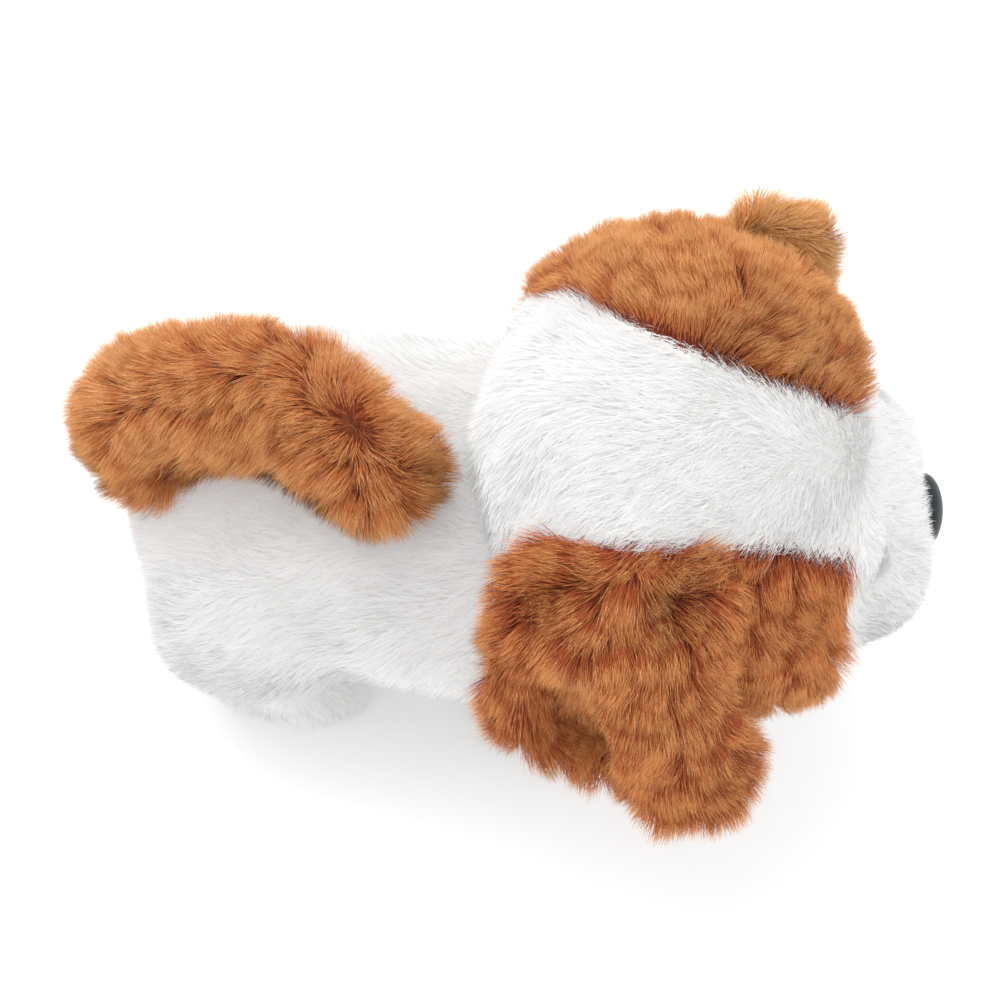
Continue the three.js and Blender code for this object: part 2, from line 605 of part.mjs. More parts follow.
function addElectronics() {
  const canOutline = new THREE.Shape();
  const flat = Math.asin(motorHalfHeight / motorRadius);
  canOutline.absarc(0, 0, motorRadius, -flat, flat);
  canOutline.absarc(0, 0, motorRadius, Math.PI - flat, Math.PI + flat);
  canOutline.closePath();
  const can = plateY(canOutline, motorCan).translate(motorX, 0, motorZ);
  add('motor', join(can, barrelY(motorShaftRadius, ...motorAxis, motorShaft, 12)), steel);
  const [board, ...chips] = boardBlocks.map((spans) => block(...spans));
  const smallCan = barrelZ(capacitor.radius, capacitor.x, capacitor.y, capacitor.z, 12);
  add('circuit_board', join(board, ...chips, smallCan), boardGreen);
  const rim = barrelZ(speakerRim.radius, speakerX, 0, speakerRim.z, 28);
  const basket = barrelZ(speakerBasket.radius, speakerX, 0, speakerBasket.z, 24);
  add('speaker', join(rim, basket), blackPlastic);
  [['red', redWire], ['black', blackPlastic]].forEach(([name, material]) => {
    const points = leadPath.map(([x, z]) => new THREE.Vector3(x, leadY[name], z));
    const path = new THREE.CatmullRomCurve3(points);
    const section = new THREE.Shape().absarc(0, 0, leadRadius, 0, Math.PI * 2);
    const options = { extrudePath: path, steps: 8, curveSegments: 3, bevelEnabled: false };
    add(`motor_lead_${name}`, solidOf(new THREE.ExtrudeGeometry(section, options)), material);
  });
  add('switch_body', block(...switchBody), blackPlastic);
  add('switch_knob', cut(block(...switchKnob), block(...knobGroove)), blackPlastic);
}

// ---- Head ---------------------------------------------------------------------------------------

function headFrame(grow = 0) {
  const width = widened([-beamHalfWidth, beamHalfWidth], grow);
  const faceWidth = widened([-facePlateHalfWidth, facePlateHalfWidth], grow);
  const post = block(widened(postX, grow), width, [neckZ + 3, beamLayer[1] + grow]);
  const beam = block(beamX, width, widened(beamLayer, grow));
  const facePlate = block(widened(facePlateX, grow), faceWidth, widened(facePlateZ, grow));
  return join(post, beam, facePlate);
}

// A stem that runs forward from the face plate to an eye or to the nose.
const faceStem = (radius, [x, y, z], grow) =>
  barrelX(radius + grow, y, z, [facePlateX[1] + gap - grow, x], 12);

function eye(side, grow = 0) {
  const centre = [eyeX, side * eyeY, eyeZ];
  const ball = egg(centre, eyeHalf.map((size) => size + grow), 12, 8);
  return join(ball, faceStem(eyeStemRadius, centre, grow));
}

function noseSolid(grow = 0) {
  const pad = egg(nose.centre, nose.half.map((size) => size + grow));
  return join(pad, faceStem(nose.stemRadius, nose.centre, grow));
}

function addHead() {
  const hub = barrelY(neckHubRadius, neckX, neckZ, neckHub);
  const arm = block([neckX - neckArmHalf, neckX + neckArmHalf], neckArm, [rodZ - neckArmHalf, neckZ]);
  const armPin = barrelY(armPinRadius, neckX, rodZ, [neckArm[1] - 0.1, rodLayer[1] + 0.4], 12);
  const bore = barrelY(neckPinRadius + gap, neckX, neckZ, widened(neckHub, through), 16);
  add('head_frame', cut(join(headFrame(), hub, arm, armPin), bore), casingPlastic);
  add('neck_pin', barrelY(neckPinRadius, neckX, neckZ, [-neckPinEnd, neckPinEnd], 16), steel);

  const rodCut = widened(rodLayer, through);
  const ringBore = barrelY(eccentricRadius + gap, crankX, rodZ, rodCut, 24);
  const ring = barrelY(eccentricRadius + rodRingWall, crankX, rodZ, rodLayer, 24);
  const barOutline = roundedOutline(crankX + eccentricRadius - 1, neckX, rodZ - rodBarHalf,
    rodZ + rodBarHalf, 1);
  const bar = plateY(barOutline, rodLayer, 2);
  const frontRing = barrelY(rodFrontRadius, neckX, rodZ, rodLayer, 16);
  const slotOutline = roundedOutline(neckX - rodSlot.half, neckX + rodSlot.half,
    rodZ - rodSlot.halfHeight, rodZ + rodSlot.halfHeight, rodSlot.corner);
  const slot = plateY(slotOutline, rodCut, 4);
  add('head_push_rod', cut(join(bar, ring, frontRing), ringBore, slot), gearPlastic);

  const skull = join(egg(head.centre, head.half, 22, 13), egg(muzzle.centre, muzzle.half, 16, 9));
  const tools = [block(...neckOpening), headFrame(gap), noseSolid(gap), eye(1, gap), eye(-1, gap)];
  add('head_plush', cut(skull, ...tools), whitePlush);
  add('nose', noseSolid(), blackGloss);
  for (const [name, side] of sides) {
    add(`eye_${name}`, eye(side), blackGloss);
  }
}

// A broad flap hanging from its seam, leaning out a little. Its outline is forward and up from the
// seam's rear end: a start, then a handle and an end for each curve.
const earStart = [8, 2];
const earCurves = [
  [5, -22, 7, -44],
  [12, -56, 28, -61],
  [44, -68, 58, -67],
  [68, -63, 66, -48],
  [56, -26, 55, -6],
  [50, 4, 30, 3],
];

function addEar([name, side]) {
  const outline = new THREE.Shape();
  outline.moveTo(...earStart);
  earCurves.forEach((curve) => outline.quadraticCurveTo(...curve));
  outline.closePath();
  const layer = mirrored([earStandoff, earStandoff + earThickness], side);
  const lean = side * THREE.MathUtils.radToDeg(earSplay);
  const flap = plateY(outline, layer, 4).rotate([lean, 0, 0]);
  add(`ear_${name}`, flap.translate(0, side * earHingeY, earHingeZ), brownPlush);
}

// ---- Body skin ----------------------------------------------------------------------------------

const skinRoom = 0.6; // between the skin and the casing
const leverRoom = [[-100, casingBack + 2], [-8, 8], [52, 66]];
const doorRoom = [[-38.4, 26], [-18, 18], [0, casingBottom + wall]];
const knobRoom = [[-44, -37], [-6, 6], [0, casingBottom + wall]];
const legRoom = 3.8; // outside the legs
const rearLegRoom = 11; // ahead of and behind a leg's hip
const frontLegRoom = 8;
const linkRoom = [42, 54];

function addBodySkin() {
  const whole = join(egg(torso.centre, torso.half, 22, 12), egg(chest.centre, chest.half, 18, 11));
  const room = skinRoom;
  const casingRoom = plateY(roundedOutline(casingBack - room, casingFront + room, casingBottom - room,
    casingTop + room, casingCorner), [-casingHalfWidth - 2, casingHalfWidth + 2]);
  const tools = [casingRoom, egg(head.centre, head.half.map((size) => size + headRoom), 18, 11),
    tailShape(tailRadius + tailRoom), egg(tailPath[0], tailRootRoom, 18, 11),
    block(...leverRoom), block(...doorRoom), block(...knobRoom)];
  const legSpan = [-legOuter - legRoom, legOuter + legRoom];
  tools.push(block(widened([rearHipX, rearHipX], rearLegRoom), legSpan, [0, crankZ + 10]));
  tools.push(block(widened([frontHipX, frontHipX], frontLegRoom), legSpan, [0, hipZ + linkPinRise + 8]));
  tools.push(block(widened([rearHipX, frontHipX], frontLegRoom), legSpan, linkRoom));
  for (const hipX of [rearHipX, frontHipX]) {
    for (const [, side] of sides) {
      tools.push(egg(pawCentre(hipX, side), pawHalf.map((size) => size + pawRoom)));
    }
  }
  add('body_plush', cut(whole, ...tools), whitePlush);
}

// ---- The whole puppy ----------------------------------------------------------------------------

for (const pair of sides) {
  addCasingHalf(pair);
  addLeg('rear', rearHipX, pair);
  addLeg('front', frontHipX, pair);
  addLink(pair);
  addEar(pair);
}
addCasingScrews();
addBatteryBay();
addElectronics();
addGears();
addCrank();
addTail();
addHead();
addBodySkin();

export default puppy;
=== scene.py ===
import json
import math

import bpy
import numpy as np
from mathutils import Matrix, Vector
from mathutils.kdtree import KDTree


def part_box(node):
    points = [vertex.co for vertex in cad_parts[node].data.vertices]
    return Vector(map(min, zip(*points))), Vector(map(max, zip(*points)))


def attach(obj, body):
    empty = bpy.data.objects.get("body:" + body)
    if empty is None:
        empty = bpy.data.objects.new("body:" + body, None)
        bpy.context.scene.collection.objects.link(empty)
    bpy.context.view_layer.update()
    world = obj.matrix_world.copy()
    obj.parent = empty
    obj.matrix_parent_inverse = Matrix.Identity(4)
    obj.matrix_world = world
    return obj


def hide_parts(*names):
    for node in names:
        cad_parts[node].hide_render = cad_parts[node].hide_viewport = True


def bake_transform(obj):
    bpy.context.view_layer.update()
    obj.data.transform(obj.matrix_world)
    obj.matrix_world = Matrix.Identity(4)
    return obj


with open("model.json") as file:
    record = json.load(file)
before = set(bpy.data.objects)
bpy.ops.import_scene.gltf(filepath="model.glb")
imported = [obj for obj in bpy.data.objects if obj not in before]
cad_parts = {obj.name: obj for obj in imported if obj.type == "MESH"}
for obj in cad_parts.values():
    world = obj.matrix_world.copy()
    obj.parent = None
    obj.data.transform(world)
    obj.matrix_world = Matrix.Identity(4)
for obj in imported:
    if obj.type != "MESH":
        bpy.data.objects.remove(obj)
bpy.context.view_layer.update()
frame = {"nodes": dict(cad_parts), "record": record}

MM = 0.001

# ---- Where things are, from the frame ----------------------------------------------------------


def middle(node):
    low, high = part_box(node)
    return np.array(low + high) / 2 / MM


NECK = middle("neck_pin")
REAR_HIP = middle("rear_hip_pin_left")
FRONT_HIP = middle("front_hip_pin_left")
NECK_X = 19.0  # the neck pin's x in the puppy's own measure, where the soft shapes are set out
ORIGIN = np.array([NECK[0] - NECK_X, 0.0, 0.0])
SIDES = (("left", 1), ("right", -1))

HEAD_TURN = math.radians(3)  # the face looks a little to the puppy's left
HEAD_C, HEAD_R = (40.5, 0, 106), (44, 52, 40.5)
MUZZLE_C, MUZZLE_R = (78, 0, 92), (20, 22, 17)
JOWL_R, BROW_R, CHEEK_R = (17.5, 17.5, 15.5), (11.5, 11, 8.5), (23, 20, 21)
# Jowl, brow and cheek of each side; stuffing is never quite even.
FACE = {
    "left": ((81, 12, 88), (67, 21, 110), (53, 27, 88)),
    "right": ((83.5, -14, 84.5), (75, -23, 109), (61, -29, 88)),
}
TORSO_C, TORSO_R = (-42, 5.5, 54), (51, 45, 29)
CHEST_C, CHEST_R = (6, 5, 56), (36, 45, 31)
HAUNCH_C, HAUNCH_R = (-60, 26, 42), (23, 17, 25)
SHOULDER_C, SHOULDER_R = (14, 22, 36), (19, 15, 16)
CHEEK_BLEND, BROW_BLEND, MUZZLE_BLEND, JOWL_BLEND = 12, 6, 14, 8  # how softly each joins the head
TRUNK_BLEND, LIMB_BLEND, NECK_BLEND = 26, 12, 3
HEAD_UNEVEN, BODY_UNEVEN, TAIL_UNEVEN = 0.7, 0.8, 0.5  # height of the stuffing's slow waves
EYE_X, EYE_Y, EYE_Z = 79.5, 21.5, 101.5
EYE_R = (4.6, 5.4, 5.4)
EYE_RIM_BACK, EYE_RIM_R = 3, (2, 6, 6)  # the flat rim behind the dome
SOCKET_AHEAD, SOCKET_R, SOCKET_BLEND = 6, (4.5, 5, 5), 2  # the cloth's hollow in front of an eye
EYE_CLEAR_AHEAD, EYE_CLEAR = 2, 4.6  # no pile this close to a place in front of the eye
NOSE_C, NOSE_R = (99.5, -1, 89), (4.9, 9.8, 7)
NOSE_CLEAR_R = (7, 9.2, 7)
NOSTRIL_AHEAD, NOSTRIL_Y, NOSTRIL_DROP, NOSTRIL_R = 5, 4.2, 2, (3, 2.2, 1.8)
GROOVE_AHEAD, GROOVE_DROP, GROOVE_R = 6, 5.5, (3, 0.7, 3.5)
NECK_GAP = 3.5  # cloth to cloth, where the head nods over the chest
PAW_Y = 25.0
PAW_AHEAD, PAW_Z, PAW_R = 4, 12, (17.5, 9, 10)
SHANK_Z, SHANK_R = 26, (14, 10, 18)
SHANK_BLEND, RIM_BLEND = 8, 3
RIM_AHEAD, RIM_Z, RIM_HALF = 3.5, 6.0, 3.5
PAW_RIM = (19.5, 9.6)  # half length and half width of a paw just over its sole
LEG_LOW = 1.2  # where the paw's cloth ends over the floor
LEG_PILE_LOW, LEG_PILE_HIGH, LEG_PILE_LENGTH = 2.6, 34, 3.6
LEG_BEND_LOW = 22  # the low end of the leg span handed to bending(), which only applies the piece's transform
TAIL_PATH = ((-77, 2, 66), (-85, 3, 75), (-86, 3, 86), (-73, 3.5, 96), (-50, 1, 103), (-26, -10, 97))
TAIL_CLOTH_RADIUS = 11.5
TAIL_END, TAIL_SWELL = 0.86, 0.3  # share of that radius at the ends, and what the middle adds
EAR_SPLAY = math.radians(10)
EAR_HALF = 4.0  # half an ear's thickness
EAR_CORNER = 8.0
EAR_STEEPNESS = 0.8  # the relief's slopes make the field steeper than a distance
EAR_BEND_X, EAR_ROOT_BEND, EAR_FLAP_BEND = 34, (50, 127), (54, 108)  # out and up of each end
# An ear's folds, in its own measure: u forward, v down from the root.
PLEAT_U, PLEAT_SLANT, PLEAT_V = 30, 0.33, 18  # where the pleat's edge runs
PLEAT_HEIGHT, PLEAT_FADE = 9, 0.45
HOLLOW_DEPTH, CURL_HEIGHT = 7, 9
EAR_DENTS = ((3.5, 35, 3, 50), (2.5, 22, 5, 22))  # depth, middle u and v, breadth squared
TOP_FOLD_V, TOP_FOLD_SPREAD = 13, 27
FLOOR_CLEARANCE = 0.4  # lowest that a strand reaches
SOLE_EDGE = 1.2  # how far a sole's edge is rounded
# Each ear: how far out and how high its root is, and its outline, forward and down from there.
EARS = {
    "right": (52, 128, ((18, 5), (45, 1), (46, 20), (55, 42), (55, 50), (50, 52), (24, 46), (17.5, 42))),
    "left": (50, 121, ((24, 10), (38, 1), (50, -6), (60, -5), (61.5, 28), (58, 56), (50, 60), (26, 48),
                       (21, 36))),
}

# The brown patches' borders on the head. The blaze runs between the far and the near border.
BLAZE_X, BLAZE_Y, BLAZE_BEND_BACK, BLAZE_BEND_AHEAD = 61, -3.8, 0.0096, 0.019
NEAR_Y, NEAR_SLANT, NEAR_SLANT_X = -40, 0.42, 50
FAR_FRONT_X, NEAR_FRONT_X, FRONT_SLANT, FRONT_Z = 76, 80, 0.10, 118
LOW_Z, LOW_SLANT, LOW_X = 74, 0.1, 40
BACK_X, BACK_SLANT, BACK_Z = 2, 0.25, 100
PATCH_SPLIT_Y = -20  # between the right patch's pile and the left one's
# For each surface: the corners of the space that holds it, and the grid to find it with.
HEAD_SPACE = (-8, -58, 58), (110, 58, 152), 2.2
BODY_SPACE = (-98, -52, 12), (50, 54, 96), 2.2
TAIL_SPACE = (-112, -28, 48), (-6, 20, 122), 2.0
NOSE_SPACE = (91, -11, 79), (108, 15, 99), 0.6
EAR_SPACE = {
    "left": ((-4, 40, 42), (78, 90, 142), 1.8),
    "right": ((-4, -90, 42), (78, -40, 142), 1.8),
}
LEG_SPACE_MIDDLE_Z, LEG_SPACE_BELOW, LEG_SPACE_ABOVE, LEG_GRID = 20, (24, 17, 20), (28, 17, 28), 1.8
SOLE_SPACE_MARGIN, SOLE_GRID = 2, 0.9
EYE_SPACE_BELOW, EYE_SPACE_ABOVE, EYE_GRID = (10, 10, 9), (9, 12, 9), 0.6

# ---- Fields: how far a point is outside a soft shape --------------------------------------------


def egg(points, centre, radii):
    scaled = (points - np.array(centre, float)) / np.array(radii, float)
    k0 = np.linalg.norm(scaled, axis=1)
    k1 = np.linalg.norm(scaled / np.array(radii, float), axis=1)
    return k0 * (k0 - 1) / np.maximum(k1, 1e-9)


def both(points, centre, radii, softness):
    """The same egg on the left and on the right."""
    x, y, z = centre
    return soft_union(egg(points, (x, y, z), radii), egg(points, (x, -y, z), radii), softness)


def soft_union(a, b, softness):
    h = np.clip(0.5 + 0.5 * (b - a) / softness, 0, 1)
    return b * (1 - h) + a * h - softness * h * (1 - h)


def soft_cut(a, b, softness):
    return -soft_union(-a, b, softness)


def turned(p):
    """The same places in the head's own straight measure."""
    x, y = p[:, 0] - HEAD_C[0], p[:, 1]
    c, s = math.cos(HEAD_TURN), math.sin(HEAD_TURN)
    return np.stack([x * c + y * s + HEAD_C[0], y * c - x * s, p[:, 2]], axis=1)


def ripple(points, wavelength, seed, waves=6):
    """A smooth, repeatable unevenness between about -1 and 1."""
    rng = np.random.default_rng(seed)
    total = np.zeros(len(points))
    for _ in range(waves):
        direction = rng.normal(size=3)
        direction *= 2 * math.pi / wavelength / np.linalg.norm(direction) * rng.uniform(0.7, 1.4)
        total += np.sin(points @ direction + rng.uniform(0, 2 * math.pi))
    return total / waves * 1.6


def smooth_step(value, low, high):
    t = np.clip((value - low) / (high - low), 0, 1)
    return t * t * (3 - 2 * t)


def head_field(places):
    p = turned(places)
    d = egg(p, HEAD_C, HEAD_R)
    for name, _ in SIDES:
        _, brow, cheek = FACE[name]
        d = soft_union(d, egg(p, cheek, CHEEK_R), CHEEK_BLEND)
        d = soft_union(d, egg(p, brow, BROW_R), BROW_BLEND)
    d = soft_union(d, egg(p, MUZZLE_C, MUZZLE_R), MUZZLE_BLEND)
    for name, _ in SIDES:
        d = soft_union(d, egg(p, FACE[name][0], JOWL_R), JOWL_BLEND)
    for _, side in SIDES:
        d = soft_cut(d, egg(p, (EYE_X + SOCKET_AHEAD, side * EYE_Y, EYE_Z), SOCKET_R), SOCKET_BLEND)
    return d + HEAD_UNEVEN * ripple(p, wavelength=34, seed=3)


def body_field(p):
    d = soft_union(egg(p, TORSO_C, TORSO_R), egg(p, CHEST_C, CHEST_R), TRUNK_BLEND)
    d = soft_union(d, both(p, HAUNCH_C, HAUNCH_R, softness=6), LIMB_BLEND)
    d = soft_union(d, both(p, SHOULDER_C, SHOULDER_R, softness=6), LIMB_BLEND)
    d = soft_cut(d, head_field(p) - NECK_GAP, NECK_BLEND)
    return d + BODY_UNEVEN * ripple(p, wavelength=40, seed=5)


def leg_field(hip_x, side):
    def field(p):
        paw = egg(p, (hip_x + PAW_AHEAD, side * PAW_Y, PAW_Z), PAW_R)
        shank = egg(p, (hip_x, side * PAW_Y, SHANK_Z), SHANK_R)
        x, y, z = (p - np.array([hip_x + RIM_AHEAD, side * PAW_Y, RIM_Z])).T
        rim = (np.hypot(x / PAW_RIM[0], y / PAW_RIM[1]) - 1) * PAW_RIM[1]
        pad = np.maximum(rim, np.abs(z) - RIM_HALF)
        d = soft_union(soft_union(paw, shank, SHANK_BLEND), pad, RIM_BLEND)
        return np.maximum(d, LEG_LOW - p[:, 2])
    return field


def tail_points(count=60):
    """The tail's middle line, as a smooth curve through its few points."""
    path = np.array(TAIL_PATH, float)
    path = np.vstack([2 * path[0] - path[1], path, 2 * path[-1] - path[-2]])
    out = []
    for t in np.linspace(0, len(TAIL_PATH) - 1 - 1e-6, count):
        i = int(t)
        f = t - i
        a, b, c, d = path[i:i + 4]
        out.append(0.5 * (2 * b + (c - a) * f + (2 * a - 5 * b + 4 * c - d) * f**2
                          + (3 * b - a - 3 * c + d) * f**3))
    return np.array(out)


TAIL_LINE = tail_points()


def along_tail(p):
    gaps = np.linalg.norm(p[:, None, :] - TAIL_LINE[None, :, :], axis=2)
    nearest = gaps.argmin(axis=1)
    return nearest, gaps[np.arange(len(p)), nearest]


def tail_field(p):
    nearest, distance = along_tail(p)
    share = nearest / (len(TAIL_LINE) - 1)
    radius = TAIL_CLOTH_RADIUS * (TAIL_END + TAIL_SWELL * np.sin(math.pi * np.clip(share, 0, 1)))
    return distance - radius + TAIL_UNEVEN * ripple(p, wavelength=22, seed=7)


def outline_distance(u, v, corners):
    """Distance outside a polygon with its corners in order, less than zero inside."""
    nearest = np.full(len(u), np.inf)
    inside = np.zeros(len(u), bool)
    for (au, av), (bu, bv) in zip(corners, corners[1:] + corners[:1]):
        du, dv = bu - au, bv - av
        t = np.clip(((u - au) * du + (v - av) * dv) / (du * du + dv * dv), 0, 1)
        nearest = np.minimum(nearest, np.hypot(u - au - t * du, v - av - t * dv))
        crosses = (av > v) != (bv > v)
        inside ^= crosses & (u < au + (v - av) * du / (dv if dv else 1))
    return np.where(inside, -nearest, nearest)


def ear_local(p, name, side):
    """u forward, v down along the flap, w outward from its straight plane."""
    root_y, root_z, _ = EARS[name]
    y = side * p[:, 1] - root_y
    drop = root_z - p[:, 2]
    v = drop * math.cos(EAR_SPLAY) + y * math.sin(EAR_SPLAY)
    w = y * math.cos(EAR_SPLAY) - drop * math.sin(EAR_SPLAY)
    return p[:, 0], v, w


def ear_relief(u, v, rim, forward):
    """How far the flap stands out: a pleat in front, a hollow behind it, and edges that curl.
    The top folds over towards the head, but not in front on an ear that is swung forward."""
    pleat_line = PLEAT_U + PLEAT_SLANT * (v - PLEAT_V)
    pleat = smooth_step(u - pleat_line, -3, 5) * smooth_step(v, 2, 34)
    pleat_face = 1 - PLEAT_FADE * smooth_step(u - pleat_line, 12, 30)
    lower = smooth_step(v, 14, 30)
    hollow = lower * (1 - pleat) * smooth_step(u, 8, 16)
    curl = hollow * smooth_step(rim, -10, -3)
    dents = sum(depth * np.exp(-((u - mid_u) ** 2 + (v - mid_v) ** 2) / breadth)
                for depth, mid_u, mid_v, breadth in EAR_DENTS)
    over = np.maximum(TOP_FOLD_V - v, 0) ** 2 / TOP_FOLD_SPREAD * (1 - forward * smooth_step(u, 40, 52))
    return PLEAT_HEIGHT * pleat * pleat_face - HOLLOW_DEPTH * hollow + CURL_HEIGHT * curl - dents - over


def ear_field(name, side):
    corners = EARS[name][2]

    def field(p):
        u, v, w = ear_local(p, name, side)
        rim = outline_distance(u, v, corners) - EAR_CORNER
        past = np.maximum(rim + EAR_HALF, 0)
        off = w - ear_relief(u, v, rim, side > 0)
        return EAR_STEEPNESS * (np.sqrt(past**2 + off**2) - EAR_HALF)
    return field


# ---- From a field to a mesh ---------------------------------------------------------------------


def gradient(field, points, step=0.2):
    out = np.zeros_like(points)
    for axis in range(3):
        shift = np.zeros(3)
        shift[axis] = step
        out[:, axis] = (field(points + shift) - field(points - shift)) / (2 * step)
    return out


def surface_of(field, low, high, step):
    """Points and quads of the field's zero surface: one point in each grid cell it passes through."""
    axes = [np.arange(a, b + step, step) for a, b in zip(low, high)]
    grid = np.stack(np.meshgrid(*axes, indexing="ij"), axis=-1)
    value = field(grid.reshape(-1, 3)).reshape(grid.shape[:3])
    cells = tuple(n - 1 for n in value.shape)
    total, count = np.zeros(cells + (3,)), np.zeros(cells)
    for axis in range(3):
        others = [k for k in range(3) if k != axis]
        for i in (0, 1):
            for j in (0, 1):
                start = [0, 0, 0]
                start[others[0]], start[others[1]] = i, j
                end = list(start)
                end[axis] = 1
                a = value[tuple(slice(s, s + n) for s, n in zip(start, cells))]
                b = value[tuple(slice(s, s + n) for s, n in zip(end, cells))]
                cross = (a < 0) != (b < 0)
                share = np.where(cross, a / np.where(cross, a - b, 1), 0)
                point = np.array(start, float) + share[..., None] * (np.array(end) - np.array(start))
                total += np.where(cross[..., None], point, 0)
                count += cross
    active = count > 0
    index = -np.ones(cells, int)
    index[active] = np.arange(active.sum())
    points = np.array(low) + step * (np.argwhere(active) + total[active] / count[active][:, None])
    quads = []
    for axis in range(3):
        u, v = (axis + 1) % 3, (axis + 2) % 3
        size = list(value.shape)
        size[axis] -= 1
        a = value[tuple(slice(0, n) for n in size)]
        b = value[tuple(slice(1, n + 1) if k == axis else slice(0, n) for k, n in enumerate(size))]
        where = np.argwhere((a < 0) != (b < 0))
        where = where[(where[:, u] > 0) & (where[:, v] > 0)]
        where = where[(where[:, u] < value.shape[u] - 1) & (where[:, v] < value.shape[v] - 1)]
        outward = a[tuple(where.T)] < 0
        ring = []
        for du, dv in ((0, 0), (-1, 0), (-1, -1), (0, -1)):
            at = where.copy()
            at[:, u] += du
            at[:, v] += dv
            ring.append(index[tuple(at.T)])
        ring = np.stack(ring, axis=1)
        quads.append(np.where(outward[:, None], ring, ring[:, ::-1]))
    quads = np.vstack(quads)
    for _ in range(3):
        points = relax(points, quads)
        slope = gradient(field, points)
        steep = np.maximum((slope**2).sum(axis=1), 0.05)
        points -= (field(points) / steep)[:, None] * slope
    return points, quads


def relax(points, quads):
    total, count = np.zeros_like(points), np.zeros(len(points))
    for k in range(4):
        np.add.at(total, quads[:, k], points[quads[:, (k + 1) % 4]])
        np.add.at(count, quads[:, k], 1)
    return 0.5 * points + 0.5 * total / np.maximum(count, 1)[:, None]


def mesh_object(name, points, faces, materials, indices=None, smooth=True):
    """faces is a list of arrays of polygons, each array with its own number of corners."""
    mesh = bpy.data.meshes.new(name)
    mesh.vertices.add(len(points))
    mesh.vertices.foreach_set("co", ((points + ORIGIN) * MM).astype(np.float32).ravel())
    corners = np.concatenate([f.ravel() for f in faces])
    sizes = np.concatenate([np.full(len(f), f.shape[1]) for f in faces])
    mesh.loops.add(len(corners))
    mesh.loops.foreach_set("vertex_index", corners.astype(np.int32))
    starts = np.concatenate([[0], np.cumsum(sizes)[:-1]])
    mesh.polygons.add(len(sizes))
    mesh.polygons.foreach_set("loop_start", starts.astype(np.int32))
    for material in materials:
        mesh.materials.append(material)
    if indices is not None:
        mesh.polygons.foreach_set("material_index", indices.astype(np.int32))
    mesh.polygons.foreach_set("use_smooth", np.full(len(sizes), smooth))
    mesh.update(calc_edges=True)
    mesh.validate()
    piece = bpy.data.objects.new(name, mesh)
    bpy.context.scene.collection.objects.link(piece)
    return piece


# ---- Materials ----------------------------------------------------------------------------------


def plain(name, color, roughness, metallic=0.0, sheen=0.0):
    material = bpy.data.materials.new(name)
    material.use_nodes = True
    shader = material.node_tree.nodes["Principled BSDF"]
    shader.inputs["Base Color"].default_value = (*color, 1)
    shader.inputs["Roughness"].default_value = roughness
    shader.inputs["Metallic"].default_value = metallic
    shader.inputs["Sheen Weight"].default_value = sheen
    return material


def varied(name, dark, light, roughness, scale, bump=0.0, stretch=(1, 1, 1), **more):
    """A finish whose colour and grain come from noise at the given scale, in waves per metre."""
    material = plain(name, light, roughness, **more)
    nodes, links = material.node_tree.nodes, material.node_tree.links
    shader = nodes["Principled BSDF"]
    where = nodes.new("ShaderNodeTexCoord")
    place = nodes.new("ShaderNodeMapping")
    place.inputs["Scale"].default_value = stretch
    noise = nodes.new("ShaderNodeTexNoise")
    noise.inputs["Scale"].default_value = scale
    noise.inputs["Detail"].default_value = 6
    ramp = nodes.new("ShaderNodeValToRGB")
    ramp.color_ramp.elements[0].position = 0.32
    ramp.color_ramp.elements[0].color = (*dark, 1)
    ramp.color_ramp.elements[1].position = 0.68
    ramp.color_ramp.elements[1].color = (*light, 1)
    links.new(where.outputs["Object"], place.inputs["Vector"])
    links.new(place.outputs["Vector"], noise.inputs["Vector"])
    links.new(noise.outputs["Fac"], ramp.inputs["Fac"])
    links.new(ramp.outputs["Color"], shader.inputs["Base Color"])
    if bump:
        relief = nodes.new("ShaderNodeBump")
        relief.inputs["Strength"].default_value = bump
        relief.inputs["Distance"].default_value = 0.0004
        links.new(noise.outputs["Fac"], relief.inputs["Height"])
        links.new(relief.outputs["Normal"], shader.inputs["Normal"])
    return material


def shades(name, levels, glow=0.03):
    """Materials from root to tip, each level in a few tones; darker roots are painted shade between strands,
    and the glow is painted light, an emission standing in for light that pile passes on.
    """
    made = []
    for level, tones in enumerate(levels):
        for tone, color in enumerate(tones):
            material = plain(f"{name}_{level}_{tone}", color, 0.8)
            shader = material.node_tree.nodes["Principled BSDF"]
            shader.inputs["Emission Color"].default_value = (*color, 1)
            shader.inputs["Emission Strength"].default_value = glow
            made.append(material)
    return made


# In each set below, the first row (the roots) is darker than the rows above it: painted shade between the
# strands.
TONES = 3
# The brown pile in lit and shaded copies; this first set is the tail's.
BROWN = shades("brown_pile", (
    ((0.32, 0.052, 0.011), (0.38, 0.070, 0.015), (0.25, 0.038, 0.008)),
    ((0.62, 0.195, 0.050), (0.68, 0.240, 0.068), (0.55, 0.160, 0.038)),
    ((0.78, 0.370, 0.130), (0.84, 0.430, 0.180), (0.72, 0.310, 0.095)),
))
# The brown darkened for the far head patch, which faces the lamp: painted shade.
SHADED_AMBER = shades("shaded_amber_pile", (
    ((0.26, 0.036, 0.008), (0.32, 0.050, 0.011), (0.20, 0.026, 0.006)),
    ((0.55, 0.160, 0.038), (0.61, 0.200, 0.052), (0.48, 0.128, 0.030)),
    ((0.74, 0.330, 0.105), (0.80, 0.390, 0.150), (0.67, 0.270, 0.078)),
))
# The brown lightened for the far ear, on the lit side: painted light.
LIT_GOLD = shades("lit_gold_pile", (
    ((0.62, 0.210, 0.055), (0.68, 0.260, 0.070), (0.56, 0.180, 0.045)),
    ((0.78, 0.350, 0.110), (0.84, 0.420, 0.150), (0.72, 0.300, 0.090)),
    ((0.90, 0.520, 0.210), (0.94, 0.580, 0.260), (0.86, 0.460, 0.170)),
))
